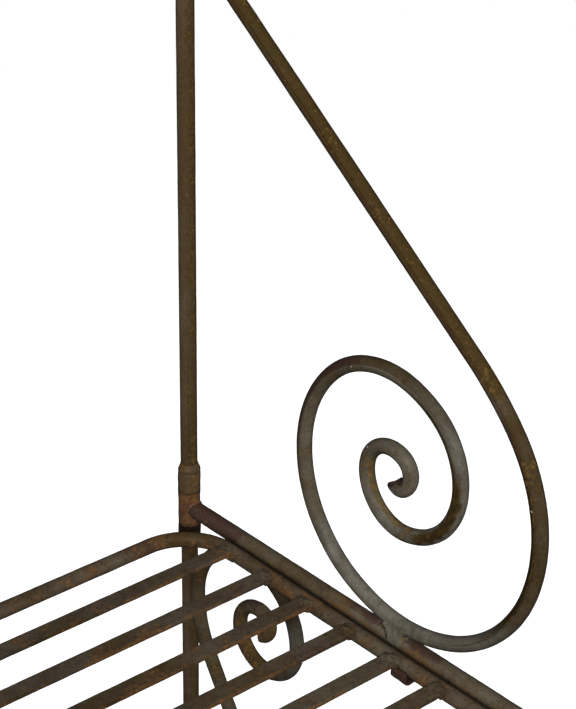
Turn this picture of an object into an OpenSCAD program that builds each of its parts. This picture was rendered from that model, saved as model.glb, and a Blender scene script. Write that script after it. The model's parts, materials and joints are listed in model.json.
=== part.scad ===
// Wrought-iron knock-down stand: an open back of two posts, two scrolled side frames and a slatted deck.
// Millimetres, +Z up. The origin is on the floor, under the middle of the stand. The front is -Y.

/* [Overall] */
// Spacing of the two rear posts, centre to centre
post_spacing = 1040; // [800:10:1400]
// Height of the side rails' centres above the floor
rail_h = 500; // [460:5:560]

/* [Posts] */
// Outside diameter of the tubular posts
post_d = 16; // [15:0.5:18]
// Bore of the posts, and diameter of the spigots that join them
spigot_d = 12; // [10:0.5:12]
// Outside diameter of the eyes, collars and ferrules on the posts
eye_d = 21.3; // [20.5:0.1:23]
// Height of each eye of a side frame
eye_h = 36; // [30:1:44]
// Height of each ferrule at the foot of an upper post
ferrule_h = 30; // [24:1:40]
// Height of each collar at the top of a lower post
collar_h = 20; // [14:1:30]
// Radial running clearance between an eye and the pin or post inside it
running_gap = 0.06; // [0.03:0.01:0.1]
// Height of the upper posts above the brace eyes
post_rise = 38; // [30:1:80]
// Diameter of the finials
finial_d = 27; // [22:1:36]

/* [Side frames] */
// Diameter of the side rails
rail_d = 16.4; // [16:0.1:17]
// How far the side rails reach forward of the posts
rail_reach = 476; // [474:1:520]
// Diameter of the scrolled bars
scroll_d = 14; // [13:0.5:14]
// Width of the front cradles and the rear rests
cradle_w = 18; // [14:1:22]
// Thickness of the strap that the cradles are bent from
strap_t = 2.5; // [2:0.5:3]

/* [Deck] */
// Diameter of the deck's rim rod
rim_d = 14; // [13:0.5:14]
// Centreline radius of the rim's corners
rim_corner_r = 52.5; // [44:0.5:58]
// Width of a slat
slat_w = 17; // [14:0.5:20]
// Thickness of a slat
slat_t = 4; // [3:0.5:5]
// Distance between the centres of neighbouring slats
slat_pitch = 54.5; // [54:0.1:55]

/* [Cross bars and feet] */
// Diameter of the top rail and the rear stretcher
cross_d = 14; // [12:0.5:15]
// Height of the rear stretcher above the floor
stretcher_h = 90; // [60:5:200]
// Diameter of the feet
foot_d = 32; // [26:1:40]
// Thickness of the feet
foot_t = 6; // [4:0.5:10]

/* [Hidden] */
$fn = 48;

RIGHT = 1;
LEFT = -1;
post_colour = [0.31, 0.27, 0.20];
rail_colour = [0.33, 0.25, 0.20];
scroll_colour = [0.33, 0.31, 0.25];
deck_colour = [0.30, 0.26, 0.21];
eye_colour = [0.36, 0.23, 0.18];

// The rear posts' axes stand this far behind the origin, so that the footprint is centred on it.
back_y = (rail_reach + rail_d / 2 - foot_d / 2) / 2;

// Scrolls are chains of tangent arcs in a side frame's own plane. There, the first coordinate runs
// from the front (negative) to the rear post's axis (0), and the second is height above the rail's
// centre. An arc is [radius, turn in degrees], and positive turns go to the left.
brace_slope = 36.82;
brace_bend = [-352.1, 295.6];
brace_arcs = [
    [259.8, 15], [142.3, 156.1], [117, 109.1], [94.4, 80.4],
    [68.2, 132.9], [43.3, 100], [29.2, 116], [15.4, 172]
];
brace_meet = brace_bend[1] - brace_bend[0] * tan(brace_slope);

// The leg's curl starts from its steep run and winds up, over and in, under the rail.
leg_slope = 57.5;
leg_inset = 2.2;
leg_curl_top_r = 74;
leg_side = -(post_d + scroll_d) / 2;
leg_rise_r = 122;
leg_top = -sqrt(pow((rail_d + scroll_d) / 2, 2) - pow(leg_inset, 2));
leg_side_z = leg_top - leg_curl_top_r;
leg_curl_start = [
    leg_side - leg_rise_r * (1 - sin(leg_slope)),
    leg_side_z - leg_rise_r * cos(leg_slope)
];
leg_curl_arcs = [
    [leg_rise_r, 90 - leg_slope], [leg_curl_top_r, 90], [68, 90], [40, 90],
    [40, 90], [19, 90], [24, 98]
];
// Below the curl the leg sweeps forward, and then turns down to its foot.
leg_run = 62;
leg_sweep_r = 300;
leg_sweep = 22;
leg_ankle_r = 110;
leg_ankle_h = 25;
leg_low_slope = leg_slope - leg_sweep;
leg_knee = leg_curl_start - leg_run * [cos(leg_slope), sin(leg_slope)];
leg_shin = leg_knee - leg_sweep_r * [sin(leg_slope) - sin(leg_low_slope), cos(leg_low_slope) - cos(leg_slope)];
leg_ankle_drop = leg_shin[1] - leg_ankle_r * cos(leg_low_slope) + rail_h - foot_t - leg_ankle_h;
leg_shin_len = leg_ankle_drop / sin(leg_low_slope);
leg_ankle = leg_shin - leg_shin_len * [cos(leg_low_slope), sin(leg_low_slope)];
leg_foot_y = leg_ankle[0] - leg_ankle_r * (1 - sin(leg_low_slope));
leg_foot_z = leg_ankle[1] - leg_ankle_r * cos(leg_low_slope);

// The deck lies inside the side rails, a little below their centres.
rim_inset = 16;
rim_drop = 5;
rim_z = rail_h - rim_drop;
rim_x = post_spacing / 2 - rim_inset;
rim_back_y = -25.8;
slat_count = 7;
first_slat_y = -81.3;
front_gap = 55.1;
rim_front_y = first_slat_y - slat_pitch * (slat_count - 1) - front_gap;
slat_sink = 1;
slat_top_z = rim_z + rim_d / 2 - slat_sink;

// Fittings of a side frame, placed from the rail's axis. The rim rests on seats at seat_z.
seat_z = -rim_drop - rim_d / 2;
cradle_y = -313.5;
cradle_gap = 2.8;
cradle_tab_x = -(rim_inset + rim_d / 2 + cradle_gap);
cradle_tab_top = slat_top_z - slat_t - rail_h - 0.4;
cradle_web_in = 4;
cradle_web_out = 5;
rest_y = -77;
rest_t = 3;
rest_reach = rim_inset + 2;
rest_arc = 1;
clip_y = -284;
clip_w = 26;
clip_t = 1.2;
clip_in = 8.4;
clip_out = 4;
clip_rise = 6;
clip_arc = 1;

brace_eye_z = rail_h + brace_meet;
post_top = brace_eye_z + eye_h / 2 + post_rise;
cross_z = brace_eye_z + eye_h / 2 + post_rise / 2;
spigot_down = 42;
spigot_up = ferrule_h - 2;
peg_len = 25;
ferrule_shoulder = 8;
ferrule_lip = 0.5;
finial_sink = 2;
chamfer = 0.7;
end_gap = 0.1;
over = 1;
taper = 0.06;
lap = 0.5;

// Puts a child drawn for the right-hand rear post's knuckle point at the chosen side.
module at_side(side) {
    flip = side == RIGHT ? 0 : 1;
    mirror([flip, 0, 0]) translate([post_spacing / 2, back_y, rail_h]) children();
}

// Turns a shape drawn in a plane so that its x runs along world Y and its y along world Z.
module in_side_plane() {
    rotate([90, 0, 90]) children();
}

// Straight round bar between two points of the side plane. It starts a little behind its first point.
module straight_bar(d, a, b) {
    run = b - a;
    translate([a[0], a[1], 0]) rotate([0, 0, atan2(run[1], run[0])]) rotate([0, 90, 0])
        translate([0, 0, -lap]) cylinder(d = d, h = norm(run) + lap);
}

// Round bar bent into a chain of tangent arcs, from a start point and heading. Each arc is slightly
// thinner than the one before and starts inside it, so the bar tapers towards its tip.
// With only set to an arc's number, just that arc is drawn.
module bent_bar(d, start, heading, arcs, i = 0, only = -1) {
    r = arcs[i][0];
    turn = arcs[i][1];
    side = turn > 0 ? 1 : -1;
    centre = start + side * r * [-sin(heading), cos(heading)];
    lap_turn = lap / r * 180 / PI;
    first = turn > 0 ? heading - 90 - lap_turn : heading + 90 + turn;
    if (only < 0 || only == i)
        translate([centre[0], centre[1], 0]) rotate([0, 0, first])
            rotate_extrude(angle = abs(turn) + lap_turn) translate([r, 0]) circle(d = d - i * taper);
    next = centre + side * r * [sin(heading + turn), -cos(heading + turn)];
    if (i + 1 < len(arcs))
        bent_bar(d, next, heading + turn, arcs, i + 1, only);
}

// Upright ring with both outer edges chamfered, standing on z = 0.
module ring(od, id, h) {
    difference() {
        union() {
            translate([0, 0, chamfer]) cylinder(d = od, h = h - 2 * chamfer);
            cylinder(d1 = od - 2 * chamfer, d2 = od, h = chamfer);
            translate([0, 0, h - chamfer]) cylinder(d1 = od, d2 = od - 2 * chamfer, h = chamfer);
        }
        translate([0, 0, -over]) cylinder(d = id, h = h + 2 * over);
    }
}

module tube(od, id, h) {
    difference() {
        cylinder(d = od, h = h);
        translate([0, 0, -over]) cylinder(d = id, h = h + 2 * over);
    }
}

module rail_solid() {
    rotate([90, 0, 0]) cylinder(d = rail_d, h = rail_reach);
}

// Curled part of a brace, or just one of its arcs.
module brace_curl(only = -1) {
    in_side_plane()
        bent_bar(scroll_d - taper, brace_bend, brace_slope - 180, brace_arcs, only = only);
}

// Moves a leg, drawn in the side frame's plane, a little inboard so that it runs past the post.
module at_leg() {
    translate([-leg_inset, 0, 0]) in_side_plane() children();
}

// Curled top of a leg, or just one of its arcs.
module leg_curl(only = -1) {
    at_leg()
        bent_bar(scroll_d - taper, leg_curl_start, leg_slope, leg_curl_arcs, only = only);
}

module lower_post(side) {
    color(post_colour) at_side(side)
        translate([0, 0, foot_t - rail_h]) tube(post_d, spigot_d, rail_h - foot_t - eye_h / 2);
}

module lower_collar(side) {
    color(eye_colour) at_side(side)
        translate([0, 0, -eye_h / 2 - collar_h]) ring(eye_d, post_d, collar_h);
}

module rear_foot(side) {
    color(post_colour) at_side(side) translate([0, 0, -rail_h]) {
        cylinder(d = foot_d, h = foot_t);
        cylinder(d = spigot_d, h = foot_t + peg_len);
    }
}

module spigot(side) {
    color(eye_colour) at_side(side) translate([0, 0, -eye_h / 2 - spigot_down]) {
        cylinder(d = spigot_d, h = spigot_down + eye_h + spigot_up);
    }
}

// Ring that turns on a post, a little shorter than its place between the collar and the ferrule.
module eye(z, pin_d) {
    translate([0, 0, z - eye_h / 2 + end_gap])
        ring(eye_d, pin_d + 2 * running_gap, eye_h - 2 * end_gap);
}

module rail_eye(side) {
    color(eye_colour) at_side(side) eye(0, spigot_d);
}

module side_rail(side) {
    color(rail_colour) at_side(side) {
        difference() {
            rail_solid();
            cylinder(d = eye_d, h = eye_h, center = true);
        }
        translate([0, -rail_reach, 0]) sphere(d = rail_d);
    }
}

module brace_scroll(side) {
    color(scroll_colour) at_side(side) {
        difference() {
            in_side_plane() straight_bar(scroll_d, [0, brace_meet], brace_bend);
            translate([0, 0, brace_meet]) cylinder(d = eye_d, h = 2 * eye_h, center = true);
        }
        brace_curl();
    }
}

module brace_eye(side) {
    color(eye_colour) at_side(side) eye(brace_meet, post_d);
}

module leg_scroll(side) {
    color(scroll_colour) at_side(side) {
        leg_curl();
        at_leg() {
            straight_bar(scroll_d, leg_knee, leg_curl_start);
            bent_bar(scroll_d - taper, leg_knee, leg_slope - 180, [[leg_sweep_r, -leg_sweep]]);
            straight_bar(scroll_d - 2 * taper, leg_shin, leg_ankle);
            bent_bar(scroll_d - 3 * taper, leg_ankle, leg_low_slope - 180, [[leg_ankle_r, 90 - leg_low_slope]]);
            straight_bar(scroll_d - 4 * taper, [leg_foot_y, leg_foot_z], [leg_foot_y, foot_t - rail_h]);
        }
    }
}

module front_foot(side) {
    color(scroll_colour) at_side(side)
        translate([-leg_inset, leg_foot_y, -rail_h]) cylinder(d = foot_d, h = foot_t);
}

// Lug that joins the scroll's lowest point to the rail and wraps the rail's inner upper flank.
module scroll_clip(side) {
    $fn = 120;
    color(scroll_colour) at_side(side) difference() {
        translate([0, clip_y + clip_w / 2, 0]) rotate([90, 0, 0]) intersection() {
            union() {
                cylinder(d = rail_d + 2 * clip_t, h = clip_w);
                translate([-clip_in, 0, 0]) cube([clip_in + clip_out, rail_d / 2 + clip_rise, clip_w]);
            }
            translate([-rail_d, 0, 0]) cube([rail_d + clip_out, rail_d, clip_w]);
        }
        rail_solid();
        brace_curl(only = clip_arc);
    }
}

// Strap under the rail that carries the deck's rim and turns up inside it.
module front_cradle(side) {
    out_r = strap_t + 1;
    tab_out = cradle_tab_x - strap_t;
    color(eye_colour) at_side(side) difference() {
        translate([0, cradle_y + cradle_w / 2, 0]) rotate([90, 0, 0]) linear_extrude(cradle_w) {
            translate([tab_out + out_r, seat_z - strap_t])
                square([cradle_web_out - tab_out - out_r, strap_t]);
            translate([tab_out, seat_z - strap_t + out_r])
                square([strap_t, cradle_tab_top - seat_z + strap_t - out_r]);
            intersection() {
                translate([tab_out + out_r, seat_z - strap_t + out_r]) circle(r = out_r);
                translate([tab_out, seat_z - strap_t]) square(out_r);
            }
            translate([-cradle_web_in, seat_z]) square([cradle_web_in + cradle_web_out, -seat_z]);
        }
        rail_solid();
    }
}

// Plain tongue on the leg's curl that carries the rim near its rear corner.
module rear_rest(side) {
    $fn = 120;
    color(eye_colour) at_side(side) difference() {
        translate([-rest_reach, rest_y - cradle_w / 2, seat_z - rest_t])
            cube([rest_reach, cradle_w, rest_t]);
        leg_curl(only = rest_arc);
        rail_solid();
    }
}

module upper_post(side) {
    color(post_colour) at_side(side) translate([0, 0, eye_h / 2])
        tube(post_d, spigot_d, post_top - rail_h - eye_h / 2);
}

module ferrule(side) {
    color(post_colour) at_side(side) translate([0, 0, eye_h / 2]) difference() {
        union() {
            cylinder(d1 = eye_d - 2 * chamfer, d2 = eye_d, h = chamfer);
            translate([0, 0, chamfer]) cylinder(d = eye_d, h = ferrule_h - ferrule_shoulder - chamfer);
            translate([0, 0, ferrule_h - ferrule_shoulder])
                cylinder(d1 = eye_d, d2 = post_d + 2 * ferrule_lip, h = ferrule_shoulder);
        }
        translate([0, 0, -over]) cylinder(d = post_d, h = ferrule_h + 2 * over);
    }
}

module finial(side) {
    ball_z = post_top - rail_h + finial_d / 2 - finial_sink;
    color(post_colour) at_side(side) {
        translate([0, 0, post_top - rail_h - peg_len])
            cylinder(d = spigot_d, h = peg_len + finial_d / 2);
        difference() {
            translate([0, 0, ball_z]) sphere(d = finial_d);
            translate([0, 0, post_top - rail_h - finial_d]) cylinder(d = 2 * finial_d, h = finial_d);
        }
    }
}

// Bar between the two posts at a given height, coped to their outsides.
module cross_bar(z) {
    translate([0, back_y, 0]) difference() {
        translate([-post_spacing / 2, 0, z]) rotate([0, 90, 0]) cylinder(d = cross_d, h = post_spacing);
        for (side = [LEFT, RIGHT])
            translate([side * post_spacing / 2, 0, z]) cylinder(d = post_d, h = 3 * cross_d, center = true);
    }
}

module top_rail() {
    color(post_colour) cross_bar(cross_z);
}

module rear_stretcher() {
    color(post_colour) cross_bar(stretcher_h);
}

// Closed loop of rod with four rounded corners.
module rim_solid() {
    side_run = rim_back_y - rim_front_y - 2 * rim_corner_r;
    cross_run = 2 * (rim_x - rim_corner_r);
    translate([0, back_y, rim_z]) {
        for (side = [LEFT, RIGHT])
            translate([side * rim_x, rim_back_y - rim_corner_r, 0]) rotate([90, 0, 0])
                cylinder(d = rim_d, h = side_run);
        for (y = [rim_front_y, rim_back_y])
            translate([-cross_run / 2, y, 0]) rotate([0, 90, 0]) cylinder(d = rim_d, h = cross_run);
        for (corner = [[1, 1, 0], [-1, 1, 90], [-1, -1, 180], [1, -1, 270]]) {
            y = corner[1] > 0 ? rim_back_y - rim_corner_r : rim_front_y + rim_corner_r;
            translate([corner[0] * (rim_x - rim_corner_r), y, 0]) rotate([0, 0, corner[2]])
                rotate_extrude(angle = 90) translate([rim_corner_r, 0]) circle(d = rim_d);
        }
    }
}

module deck_rim() {
    color(deck_colour) rim_solid();
}

// Flat slat, numbered from the back, with its ends coped to the rim.
module slat(number) {
    y = back_y + first_slat_y - (number - 1) * slat_pitch;
    color(deck_colour) difference() {
        translate([-rim_x, y - slat_w / 2, slat_top_z - slat_t]) cube([2 * rim_x, slat_w, slat_t]);
        rim_solid();
    }
}

lower_post(RIGHT);  // lower_post_right
lower_collar(RIGHT);  // lower_collar_right
rear_foot(RIGHT);  // rear_foot_right
spigot(RIGHT);  // spigot_right
rail_eye(RIGHT);  // rail_eye_right
side_rail(RIGHT);  // side_rail_right
brace_scroll(RIGHT);  // brace_scroll_right
brace_eye(RIGHT);  // brace_eye_right
leg_scroll(RIGHT);  // leg_scroll_right
front_foot(RIGHT);  // front_foot_right
scroll_clip(RIGHT);  // scroll_clip_right
front_cradle(RIGHT);  // front_cradle_right
rear_rest(RIGHT);  // rear_rest_right
upper_post(RIGHT);  // upper_post_right
ferrule(RIGHT);  // ferrule_right
finial(RIGHT);  // finial_right
lower_post(LEFT);  // lower_post_left
lower_collar(LEFT);  // lower_collar_left
rear_foot(LEFT);  // rear_foot_left
spigot(LEFT);  // spigot_left
rail_eye(LEFT);  // rail_eye_left
side_rail(LEFT);  // side_rail_left
brace_scroll(LEFT);  // brace_scroll_left
brace_eye(LEFT);  // brace_eye_left
leg_scroll(LEFT);  // leg_scroll_left
front_foot(LEFT);  // front_foot_left
scroll_clip(LEFT);  // scroll_clip_left
front_cradle(LEFT);  // front_cradle_left
rear_rest(LEFT);  // rear_rest_left
upper_post(LEFT);  // upper_post_left
ferrule(LEFT);  // ferrule_left
finial(LEFT);  // finial_left
top_rail();
rear_stretcher();
deck_rim();
slat(1);  // slat_1
slat(2);  // slat_2
slat(3);  // slat_3
slat(4);  // slat_4
slat(5);  // slat_5
slat(6);  // slat_6
slat(7);  // slat_7
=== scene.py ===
import json
import math

import bmesh
import bpy
import numpy as np
from mathutils import Matrix, Vector

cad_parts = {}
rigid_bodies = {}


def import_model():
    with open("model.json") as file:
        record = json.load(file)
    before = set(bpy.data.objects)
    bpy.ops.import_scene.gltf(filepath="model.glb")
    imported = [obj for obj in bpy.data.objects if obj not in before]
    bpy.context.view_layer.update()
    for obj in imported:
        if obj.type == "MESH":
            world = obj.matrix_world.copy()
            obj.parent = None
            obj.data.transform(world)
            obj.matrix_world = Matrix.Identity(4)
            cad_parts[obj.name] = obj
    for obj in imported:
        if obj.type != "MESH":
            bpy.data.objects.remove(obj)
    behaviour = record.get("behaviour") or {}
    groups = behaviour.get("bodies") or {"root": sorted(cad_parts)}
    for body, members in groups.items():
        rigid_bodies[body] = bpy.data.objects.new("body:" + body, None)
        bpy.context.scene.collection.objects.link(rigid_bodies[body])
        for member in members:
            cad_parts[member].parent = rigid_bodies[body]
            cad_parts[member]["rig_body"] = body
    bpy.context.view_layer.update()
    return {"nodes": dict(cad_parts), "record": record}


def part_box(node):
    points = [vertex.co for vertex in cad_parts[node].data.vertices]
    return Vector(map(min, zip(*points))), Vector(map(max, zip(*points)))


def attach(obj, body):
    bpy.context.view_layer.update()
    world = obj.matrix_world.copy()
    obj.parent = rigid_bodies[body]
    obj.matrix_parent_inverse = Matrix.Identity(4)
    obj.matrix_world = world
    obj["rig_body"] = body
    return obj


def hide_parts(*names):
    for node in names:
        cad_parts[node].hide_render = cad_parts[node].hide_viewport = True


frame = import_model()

MM = 0.001
SIDES = {"right": 1, "left": -1}
X_AXIS = np.array([1.0, 0.0, 0.0])
Z_AXIS = np.array([0.0, 0.0, 1.0])

# ---------------------------------------------------------------- driving dimensions
STEP = 3.2             # distance between rings along a bar
RING = 24              # points round a bar
SEAM_DEPTH = 0.4       # depth of the rolled seam along a tube
BEAD_R = 1.9           # radius of a weld bead

BRACE_SLOPE = 36.82    # slope of the straight part of a brace, in degrees
BRACE_BEND = (-352.1, 295.6)
BRACE_ARCS = [(259.8, 15), (142.3, 156.1), (117, 109.1), (94.4, 80.4),
              (68.2, 132.9), (43.3, 100), (29.4, 115.4), (16.9, 114), (8.1, 103)]
LEG_SLOPE = 57.5       # slope of a leg where its curl starts
LEG_SWEEP = 22         # degrees by which the shin is flatter than that
LEG_SWEEP_R = 300
LEG_ANKLE_R = 110
LEG_RUN = 62           # straight length below the curl
LEG_RISE_R = 122
LEG_TOP_R = 74
LEG_CURL = [(6.7, 0), (62.8, 90), (45.7, 90), (34.7, 90), (27.1, 98.5), (13, 170.1)]
RIM_CORNER_R = 52.5


# The seam's angle along a brace, from the inward side towards the curl, in degrees at distances in mm
BRACE_SEAM = ((0, 431, 594, 817, 1013, 1110, 1181, 1305, 1407, 1476, 1584),
              (-21, -20, -5, 16, 9, 3, -18, -13, 12, 4, -8))


# ---------------------------------------------------------------- places, from the frame
def low_high(node):
    low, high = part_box(node)
    return np.array(low) / MM, np.array(high) / MM


def middle(node):
    low, high = low_high(node)
    return (low + high) / 2


def width(node, axis):
    low, high = low_high(node)
    return (high - low)[axis]


# ---------------------------------------------------------------- noise
def waves(points, length, seed, count=14):
    """Smooth seeded noise of about unit height, with waves of about the given length."""
    rng = np.random.default_rng(seed)
    heading = rng.normal(size=(count, 3))
    heading /= np.linalg.norm(heading, axis=1)[:, None]
    number = 2 * np.pi / length * rng.uniform(0.7, 1.4, count)
    phase = rng.uniform(0, 2 * np.pi, count)
    return np.sin(points @ (heading * number[:, None]).T + phase).sum(axis=-1) * math.sqrt(2 / count)


def ease(value, start, end):
    """Smooth step from 0 at start to 1 at end."""
    t = np.clip((value - start) / (end - start), 0, 1)
    return t * t * (3 - 2 * t)


# ---------------------------------------------------------------- shells
def rings(centres, across, up, offsets, closed=False):
    """Closed skin through rings of points: ring i lies round centres[i], offset along across and up."""
    count, ring = offsets.shape[:2]
    across = np.broadcast_to(across, (count, 3))
    up = np.broadcast_to(up, (count, 3))
    points = (centres[:, None, :] + offsets[:, :, :1] * across[:, None, :]
              + offsets[:, :, 1:] * up[:, None, :])
    faces = []
    for i in range(count if closed else count - 1):
        a, b = i * ring, (i + 1) % count * ring
        faces += [(a + j, b + j, b + (j + 1) % ring, a + (j + 1) % ring) for j in range(ring)]
    if not closed:
        faces.append(tuple(range(ring - 1, -1, -1)))
        faces.append(tuple(range((count - 1) * ring, count * ring)))
    return points.reshape(-1, 3), faces


def round_offsets(radii, angles=None, scale=None):
    """Ring offsets for round sections of the given radii. scale holds optional (count, ring) factors."""
    if angles is None:
        angles = np.linspace(0, 2 * np.pi, RING, endpoint=False)
    size = np.asarray(radii, float)[:, None] * np.ones(len(angles))
    if scale is not None:
        size = size * scale
    return np.stack([size * np.cos(angles), size * np.sin(angles)], axis=-1)


def seam_angles(where):
    """Angles round a ring, closer together at a seam, and the matching share of the seam's depth."""
    spread = np.radians([-13, -7, -3, 0, 3, 7, 13])
    depth = [0, -0.25, 0.3, 1.0, 0.3, -0.25, 0]
    others = where + np.radians(np.linspace(26, 334, RING - 5))
    angles = np.concatenate([where + spread, others])
    share = np.concatenate([depth, np.zeros(len(others))])
    return angles, share


def trace(start, heading, parts, step=STEP):
    """Follows straights (length, 0) and arcs (radius, turn) in a plane. Returns points and headings."""
    here = np.array(start, float)
    points, headings = [here], [heading]
    for size, turn in parts:
        angle = math.radians(heading)
        if turn == 0:
            count = max(2, round(size / step))
            ahead = np.array([math.cos(angle), math.sin(angle)])
            points += [here + ahead * size * k / count for k in range(1, count + 1)]
            headings += [heading] * count
        else:
            length = size * abs(math.radians(turn))
            count = max(round(length / step), math.ceil(abs(turn) / 7))
            bend = 1 if turn > 0 else -1
            centre = here + bend * size * np.array([-math.sin(angle), math.cos(angle)])
            for k in range(1, count + 1):
                at = math.radians(heading + turn * k / count)
                points.append(centre + bend * size * np.array([math.sin(at), -math.cos(at)]))
                headings.append(heading + turn * k / count)
            heading += turn
        here = points[-1]
    return np.array(points), np.radians(headings)


def lengths(points):
    """Distance along a run of points, from its first one."""
    return np.concatenate([[0], np.cumsum(np.linalg.norm(np.diff(points, axis=0), axis=1))])


def side_bar(origin, inward, points, headings, radius, seam, flare, lean):
    """Bar along a run of the side plane, with its seam at the given angles for distances along it. The
    tip is hollow, flared, and cut shorter inward. Returns its shell, and for each point its distance
    along the bar and its angle from the seam in degrees, positive on the curl's side."""
    centres = np.zeros((len(points), 3))
    centres[:, 0] = origin[0]
    centres[:, 1] = origin[1] + points[:, 0]
    centres[:, 2] = origin[2] + points[:, 1]
    up = np.stack([np.zeros_like(headings), -np.sin(headings), np.cos(headings)], axis=-1)
    ahead = np.stack([np.zeros_like(headings), np.cos(headings), np.sin(headings)], axis=-1)
    across = np.array([inward, 0.0, 0.0])
    along = lengths(centres)
    angles, share = seam_angles(0)
    depth = 0.75 + 0.25 * waves(np.stack([along, along * 0, along * 0], axis=-1), 260, 5)
    size = radius - SEAM_DEPTH * share[None, :] * depth[:, None]
    turned_by = angles[None, :] + np.radians(np.interp(along, *seam))[:, None]
    offsets = np.stack([size * np.cos(turned_by), size * np.sin(turned_by)], axis=-1)
    near = ease(along, along[-1] - 16, along[-1])
    offsets *= (1 + (np.array(flare) - 1) * near[:, None])[:, None, :]
    shear = ease(along, along[-1] - 14, along[-1])[:, None]
    cut = -lean * (0.5 + 0.5 * np.cos(turned_by)) - 0.8 * np.cos(3 * turned_by + 1)
    skin = centres[:, None, :] + offsets[:, :, :1] * across + offsets[:, :, 1:] * up[:, None, :]
    skin += (shear * cut)[:, :, None] * ahead[:, None, :]
    inside = []
    for back, shrink in ((0, 0.84), (2, 0.78), (5, 0.72), (9, 0.6), (12, 0.4)):
        k = int(np.searchsorted(along, along[-1] - back))
        inside.append(centres[k] + shrink * (skin[k] - centres[k]))
    skin = np.concatenate([skin, np.array(inside)])
    rows = np.concatenate([along, np.full(len(inside), along[-1] + 1)])
    beside = (np.degrees(angles) + 180) % 360 - 180
    return grid_skin(skin), np.repeat(rows, RING + 2), np.tile(beside, len(rows))


def grid_skin(skin):
    """Closed skin from a (rings, points, 3) array, with flat faces on the first and last ring."""
    count, ring = skin.shape[:2]
    origin = np.zeros((count, 3))
    points, faces = rings(origin, X_AXIS, Z_AXIS, np.zeros((count, ring, 2)))
    return skin.reshape(-1, 3), faces


def straight_tube(start, end, radius, seam=None, domed=0.0, depth=SEAM_DEPTH):
    """Round bar between two points, its far end rounded off over the given length."""
    start, end = np.array(start, float), np.array(end, float)
    run = end - start
    length = np.linalg.norm(run)
    ahead = run / length
    side = np.cross(ahead, Z_AXIS if abs(ahead[2]) < 0.9 else np.array([0.0, -1.0, 0.0]))
    side /= np.linalg.norm(side)
    up = np.cross(side, ahead)
    at = np.linspace(0, length - domed, max(2, round((length - domed) / STEP)) + 1)
    radii = np.full(len(at), float(radius))
    if domed:
        turn = np.radians(np.linspace(12, 84, 7))
        at = np.concatenate([at, length - domed + domed * np.sin(turn)])
        radii = np.concatenate([radii, radius * np.cos(turn)])
    centres = start + at[:, None] * ahead
    if seam is None:
        return rings(centres, side, up, round_offsets(radii))
    angles, share = seam_angles(seam)
    drift = waves(centres, 240, 9)
    scale = 1 - depth / radius * share[None, :] * (0.75 + 0.25 * drift[:, None])
    return rings(centres, side, up, round_offsets(radii, angles, scale))


def turned(origin, profile, count=40):
    """Solid turned about an upright axis. The profile is (radius, height) from its foot to its head."""
    profile = np.array(profile, float)
    centres = np.array(origin) + profile[:, 1:] * Z_AXIS
    angles = np.linspace(0, 2 * np.pi, count, endpoint=False)
    return rings(centres, X_AXIS, np.array([0.0, 1.0, 0.0]), round_offsets(profile[:, 0], angles))


def turned_ring(origin, profile, count=40):
    """Ring turned about an upright axis, from a closed (radius, height) profile."""
    profile = np.array(profile, float)
    centres = np.array(origin) + profile[:, 1:] * Z_AXIS
    angles = np.linspace(0, 2 * np.pi, count, endpoint=False)
    offsets = round_offsets(profile[:, 0], angles)
    return rings(centres, X_AXIS, np.array([0.0, 1.0, 0.0]), offsets, closed=True)


def arc_profile(radius, height, corner, start, end, count=4):
    """Points of a rounded corner in a profile, between two angles in degrees."""
    turn = np.radians(np.linspace(start, end, count))
    return [(radius + corner * math.cos(a), height + corner * math.sin(a)) for a in turn]


def bead(points, radius, seed, outward):
    """Lumpy weld bead along a closed run of points. outward holds each point's direction off the metal."""
    ahead = np.roll(points, -1, axis=0) - np.roll(points, 1, axis=0)
    ahead /= np.linalg.norm(ahead, axis=1)[:, None]
    side = np.cross(ahead, outward)
    side /= np.linalg.norm(side, axis=1)[:, None]
    up = np.cross(side, ahead)
    size = radius * (1 + 0.2 * waves(points, 7, seed) + 0.12 * waves(points, 3.5, seed + 1))
    angles = np.linspace(0, 2 * np.pi, 10, endpoint=False)
    return rings(points, side, up, round_offsets(size, angles), closed=True)


def saddle_bead(post, height, post_r, bar_r, direction, seed, radius=BEAD_R):
    """Bead where a bar meets an upright cylinder. direction is the bar's, in the frame's axes."""
    direction = np.array(direction, float) / np.linalg.norm(direction)
    level = direction * [1, 1, 0]
    level /= np.linalg.norm(level)
    side = np.cross(level, Z_AXIS)
    lift = np.cross(side, direction)
    turn = np.linspace(0, 2 * np.pi, 56, endpoint=False)
    off = bar_r * (np.cos(turn)[:, None] * side + np.sin(turn)[:, None] * lift)
    reach = np.sqrt(post_r ** 2 - (off @ side) ** 2)
    along = (reach - off @ level) / (direction @ level)
    centre = np.array([post[0], post[1], height], float)
    points = centre + off + along[:, None] * direction
    outward = off / bar_r + level
    return bead(points, radius, seed, outward)


def circle_bead(centre, radius, seed, thick=BEAD_R):
    """Bead round the foot of an upright bar."""
    turn = np.linspace(0, 2 * np.pi, 48, endpoint=False)
    spoke = np.stack([np.cos(turn), np.sin(turn), 0 * turn], axis=-1)
    return bead(np.array(centre) + radius * spoke, thick, seed, spoke + Z_AXIS)


def blob(centre, size, seed, rough=0.16):
    """Lump of weld metal: a rounded pebble of the given half sizes, knobbly and never even."""
    mesh = bmesh.new()
    bmesh.ops.create_icosphere(mesh, subdivisions=3, radius=1)
    points = np.array([v.co for v in mesh.verts])
    faces = [tuple(v.index for v in f.verts) for f in mesh.faces]
    mesh.free()
    swell = 1 + rough * waves(points * 8, 7, seed) + 0.5 * rough * waves(points * 8, 3, seed + 1)
    return np.array(centre) + points * swell[:, None] * np.array(size), faces


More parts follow.
